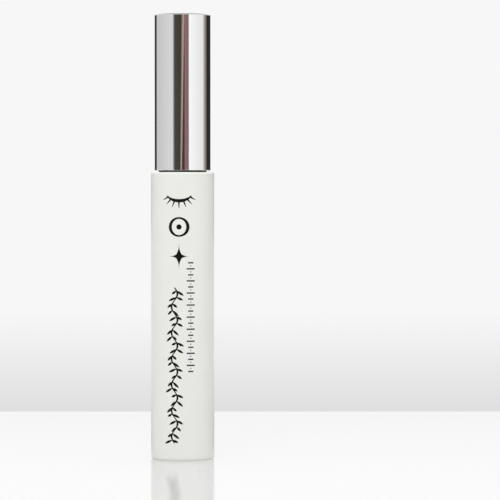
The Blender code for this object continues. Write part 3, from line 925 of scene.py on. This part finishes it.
def disc(centre, height, radius):
    """A filled dot, as one short stroke as wide as it is long."""
    return curve_points(
        lambda t: (centre - radius * math.cos(math.pi * t), height),
        lambda t: radius * math.sin(math.pi * t),
    )


def make_emblem():
    """Large mark near the shoulder: a fan of lashes, a ring with a dot and a four-pointed glint."""
    middle = -0.8
    fan, ring, glint = 75.0, 65.4, 57.2
    strokes = lash_fan(middle, fan, 3.7)
    strokes.append(ring_mark(middle, ring, 2.5, 0.46))
    strokes.append(disc(middle, ring, 0.75))
    for turn, length in ((0, 2.9), (90, 3.6), (180, 2.9), (270, 3.6)):
        strokes.append(spike(middle, glint, math.radians(turn), length, 1.15))
    return ink_object("emblem_print", strokes)


def make_dash_line():
    """A slim vertical band of dashes, short and long by turns, with a dot between each pair."""
    top, span, middle, count = 55.4, 32.0, 2.5, 19
    pitch = span / count

    def bar(height, reach, half):
        return curve_points(lambda t: (middle + reach * (t - 0.5), height), lambda t: half)

    strokes = []
    for k in range(count):
        height = top - k * pitch
        strokes.append(bar(height, 2.3 if k % 2 else 1.5, 0.19))
        if k < count - 1:
            strokes.append(bar(height - pitch / 2, 0.3, 0.14))
    return ink_object("dash_print", strokes)


def make_vine():
    """A long waving stem with paired leaves, down the left of the dashes."""
    top, bottom = 48.5, 5.0
    middle, sway, waves = -2.1, 0.85, 6

    def stem(t):
        return middle + sway * math.sin(math.tau * waves * t), top + (bottom - top) * t

    strokes = [curve_points(stem, lambda t: 0.14 + 0.12 * math.sin(math.tau * waves * t) ** 2)]
    pairs = 24
    for k in range(pairs):
        t = (k + 0.5) / pairs
        across, height = stem(t)
        for side in (-1, 1):
            turn = math.radians(-90 + side * (56 + 10 * math.sin(k * 1.7)))
            size = 2.0 + 0.45 * math.sin(k * 2.3 + side)
            strokes.append(leaf(across, height, turn, size, 0.34))
    return ink_object("vine_print", strokes)


# ------------------------------------------------------------------ stage, light and camera
WALL_Y = 0.1625
STAGE_REACH = 1.45


def grey(value):
    return (value, value, value)


def emitter(name):
    """A glowing material, with its tree, its emission node and its output."""
    made = bpy.data.materials.new(name)
    made.use_nodes = True
    tree = made.node_tree
    tree.nodes.clear()
    out = tree.nodes.new("ShaderNodeOutputMaterial")
    glow = tree.nodes.new("ShaderNodeEmission")
    tree.links.new(glow.outputs[0], out.inputs["Surface"])
    return made, tree, glow, out


def shade_by_height(tree, glow, low, high, shades):
    """The glow's grey runs from the first shade at height low to the second at height high."""
    where = tree.nodes.new("ShaderNodeTexCoord")
    split = tree.nodes.new("ShaderNodeSeparateXYZ")
    tree.links.new(where.outputs["Object"], split.inputs[0])
    rise = ramp(tree, split.outputs["Z"], low, high, 0.0, 1.0)
    tree.links.new(mix_colour(tree, rise, *map(grey, shades)), glow.inputs["Color"])


def seen_by(obj, camera=True, diffuse=True, glossy=True, shadow=True):
    """Says which rays meet the object. Rays sent on by glass would count as glossy ones."""
    obj.visible_camera = camera
    obj.visible_diffuse = diffuse
    obj.visible_glossy = glossy
    obj.visible_transmission = glossy
    obj.visible_shadow = shadow
    return obj


def make_floor():
    """Pale glossy table: a diffuse body with a soft reflection that strengthens at grazing angles."""
    made = bpy.data.materials.new("pale_floor")
    made.use_nodes = True
    tree = made.node_tree
    tree.nodes.clear()
    out = tree.nodes.new("ShaderNodeOutputMaterial")
    body = tree.nodes.new("ShaderNodeBsdfDiffuse")
    body.inputs["Color"].default_value = (*grey(0.34), 1)
    glow = tree.nodes.new("ShaderNodeEmission")
    glow.inputs["Strength"].default_value = 0.42
    both = tree.nodes.new("ShaderNodeAddShader")
    gloss = tree.nodes.new("ShaderNodeBsdfGlossy")
    gloss.inputs["Color"].default_value = (*grey(0.98), 1)
    gloss.inputs["Roughness"].default_value = 0.12
    fresnel = tree.nodes.new("ShaderNodeFresnel")
    fresnel.inputs["IOR"].default_value = 1.5
    mix = tree.nodes.new("ShaderNodeMixShader")
    tree.links.new(fresnel.outputs[0], mix.inputs[0])
    tree.links.new(body.outputs[0], both.inputs[0])
    tree.links.new(glow.outputs[0], both.inputs[1])
    tree.links.new(both.outputs[0], mix.inputs[1])
    tree.links.new(gloss.outputs[0], mix.inputs[2])
    tree.links.new(mix.outputs[0], out.inputs["Surface"])
    shape = bmesh.new()
    bmesh.ops.create_circle(shape, cap_ends=True, radius=STAGE_REACH, segments=128)
    object_from(shape, "floor", made)


def clear_from_behind(tree, glow, out):
    """Makes a glowing sheet transparent for rays that meet its back."""
    clear = tree.nodes.new("ShaderNodeBsdfTransparent")
    facing = tree.nodes.new("ShaderNodeNewGeometry")
    mix = tree.nodes.new("ShaderNodeMixShader")
    tree.links.new(facing.outputs["Backfacing"], mix.inputs[0])
    tree.links.new(glow.outputs[0], mix.inputs[1])
    tree.links.new(clear.outputs[0], mix.inputs[2])
    tree.links.new(mix.outputs[0], out.inputs["Surface"])


def wall_sheet(name, place, foot, top, rise_height, high):
    """An upright glowing sheet, painted darker at its foot as shade where it meets the table and rising to
    its top grey, clear when seen from behind.
    """
    made, tree, glow, out = emitter(name)
    shade_by_height(tree, glow, 0.0, rise_height, (foot, top))
    clear_from_behind(tree, glow, out)
    wide = STAGE_REACH
    mesh = bpy.data.meshes.new(name)
    corners = [(-wide, place, 0), (wide, place, 0), (wide, place, high), (-wide, place, high)]
    mesh.from_pydata(corners, [], [(0, 1, 2, 3)])
    obj = mesh_object(name, mesh, made)
    return obj


def make_wall():
    """Backdrop behind the tube, its foot darkened by painted shade, and the brighter sheet that the table
    reflects, with a weaker painted shade at its foot.
    """
    # Painted shade: the backdrop glows 0.735 at the table and rises to 0.93 at 34 mm up, as if shade fell
    # at the wall's foot.
    seen_by(wall_sheet("backdrop_wall", WALL_Y, 0.735, 0.93, 0.034, 1.2), diffuse=False, glossy=False)
    seen_by(
        # The sheet that the table reflects carries the same painted shade, weaker: 1.0 at its foot rising
        # to 1.13 at 32 mm up.
        wall_sheet("backdrop_glare", WALL_Y + 0.002, 1.0, 1.13, 0.032, 0.06),
        camera=False, diffuse=False, shadow=False,
    )


def make_dome():
    """Three shells round the stage: for the eye, for soft light, and for reflections, darker upwards."""
    for name, shades, radius in (
        ("surround", (0.93, 0.93), 5.0),
        ("soft_light", (0.735, 0.735), 4.9),
        ("mirrored_sky", (0.93, 0.36), 4.8),
    ):
        shape = bmesh.new()
        bmesh.ops.create_icosphere(shape, subdivisions=4, radius=radius)
        material, tree, glow, _ = emitter(name)
        shade_by_height(tree, glow, 0.25 * radius, 0.8 * radius, shades)
        obj = object_from(shape, name, material)
        seen_by(
            obj, camera=name == "surround", diffuse=name == "soft_light", glossy=name == "mirrored_sky",
            shadow=False,
        )


def studio_card(name, first, last, colours, radius=1.6):
    """A tall curved card round the tube with a foot on the table, seen only in reflections, from inside.

    Angles run from the front, to the right. Each of first and last is an angle, or a pair: the angle
    seen at the cap's rim and at its top. A nearer card's foot lies on top of a farther one's.
    """
    firsts = first if isinstance(first, tuple) else (first, first)
    lasts = last if isinstance(last, tuple) else (last, last)
    foot_from, foot = 0.03, (2.0 - radius) * MM
    rim_view, top_view, top = 0.09, 0.24, 0.45
    profile = [
        (foot_from, foot, 0), (radius, foot, 0), (radius, rim_view, 0),
        (radius, top_view, 1), (radius, top, 1),
    ]
    rows = len(profile)
    steps = max(6, round(abs(lasts[1] - firsts[1]) / 2))
    mesh = bpy.data.meshes.new(name)
    points, faces, tints = [], [], []
    for i in range(steps + 1):
        t = i / steps
        place = t * (len(colours) - 1)
        k = min(int(place), len(colours) - 2)
        tint = [a + (b - a) * (place - k) for a, b in zip(colours[k], colours[k + 1])]
        for reach, z, end in profile:
            turn = math.radians(firsts[end] + (lasts[end] - firsts[end]) * t)
            points.append((reach * math.sin(turn), -reach * math.cos(turn), z))
            tints.append(tint)
    for i in range(steps):
        for row in range(rows - 1):
            a = rows * i + row
            faces.append((a, a + 1, a + rows + 1, a + rows))
    mesh.from_pydata(points, [], faces)
    layer = mesh.color_attributes.new("tint", "FLOAT_COLOR", "POINT")
    for i, colour in enumerate(tints):
        layer.data[i].color = (*colour, 1.0)
    material, tree, glow, out = emitter(name)
    read = tree.nodes.new("ShaderNodeAttribute")
    read.attribute_name = "tint"
    tree.links.new(read.outputs["Color"], glow.inputs["Color"])
    clear_from_behind(tree, glow, out)
    obj = mesh_object(name, mesh, material)
    return seen_by(obj, camera=False, diffuse=False, shadow=False)


def make_cards():
    """Softboxes, the dark room between them, and the warm figure behind the camera."""
    studio_card("left_dark", -179.5, -133, [grey(0.05), grey(0.045)], radius=1.5)
    studio_card("left_softbox_back", -136, -96, [grey(0.60), grey(0.595), grey(0.62)])
    studio_card("left_softbox", -96, -40, [grey(0.62), grey(0.655), grey(0.69), grey(0.70)])
    studio_card("left_softbox_edge", -40, -32, [grey(0.70), grey(0.30), grey(0.08)])
    studio_card(
        "dark_room", -32, 28, [(0.07, 0.065, 0.055), (0.045, 0.04, 0.034), (0.05, 0.045, 0.04)], radius=1.7,
    )
    studio_card(
        "pale_edge", (-9, -3), (-2, 9), [(0.10, 0.085, 0.07), (0.40, 0.31, 0.26), (0.46, 0.34, 0.29)],
    )
    studio_card(
        "rose_figure", (9, 8), (19, 17), [(0.14, 0.07, 0.08), (0.33, 0.16, 0.19), (0.22, 0.12, 0.10)],
    )
    studio_card("brown_edge", (19, 17), (28, 27), [(0.24, 0.16, 0.14), (0.20, 0.14, 0.11)])
    studio_card("right_softbox", 27, 94, [grey(1.0), grey(0.96), grey(0.90), grey(0.86), grey(0.82)])
    studio_card("right_softbox_edge", 94, 118, [grey(0.80), (0.30, 0.26, 0.24), (0.20, 0.18, 0.15)])
    studio_card("right_dark", 118, 179.5, [grey(0.026), grey(0.026)], radius=1.5)


def make_lights():
    """A broad soft key, high in front and a little to the left, and one above. Nothing reflects them."""
    for name, place, size, power in (
        ("front_key", (-0.06, -0.50, 0.52), 0.35, 1.43), ("top_light", (0.0, 0.02, 0.6), 0.3, 1.2),
    ):
        light = bpy.data.lights.new(name, "AREA")
        light.shape = "SQUARE"
        light.size = size
        light.energy = power
        obj = link(bpy.data.objects.new(name, light))
        obj.location = place
        aim = Vector((0.0, 0.0, 0.06)) - Vector(place)
        obj.rotation_euler = aim.to_track_quat("-Z", "Y").to_euler()
        obj.visible_camera = False
        obj.visible_glossy = False


def make_world():
    """A faint fill from behind the shells, which cast no shadow."""
    world = bpy.data.worlds.new("studio")
    world.use_nodes = True
    bpy.context.scene.world = world
    background = world.node_tree.nodes["Background"]
    background.inputs["Color"].default_value = (*grey(0.045), 1)
    background.inputs["Strength"].default_value = 1.0


def make_camera():
    """Close lens a little above the tube's middle, with the tube left of the frame's centre."""
    distance = 750.0 * MM
    height = 74.0 * MM
    middle = 58.8 * MM
    frame_width = 141.0 * MM
    camera = bpy.data.cameras.new("camera")
    camera.sensor_width = 36.0
    camera.lens = camera.sensor_width * distance / frame_width
    camera.clip_start = 0.05
    camera.clip_end = 50.0
    obj = link(bpy.data.objects.new("camera", camera))
    obj.location = (19.0 * MM, -distance, height)
    obj.rotation_euler = (math.radians(90) - math.atan((height - middle) / distance), 0, 0)
    bpy.context.scene.camera = obj


make_sleeve()
make_base_plug()
make_vial()
make_wiper()
make_paste()
make_ring()
make_washer()
make_shell()
make_inner_cap()
make_rod()
make_wire()
make_bristles()
make_emblem()
make_dash_line()
make_vine()

make_floor()
make_wall()
make_dome()
make_cards()
make_lights()
make_world()
make_camera()
bpy.context.scene.view_settings.view_transform = "Standard"
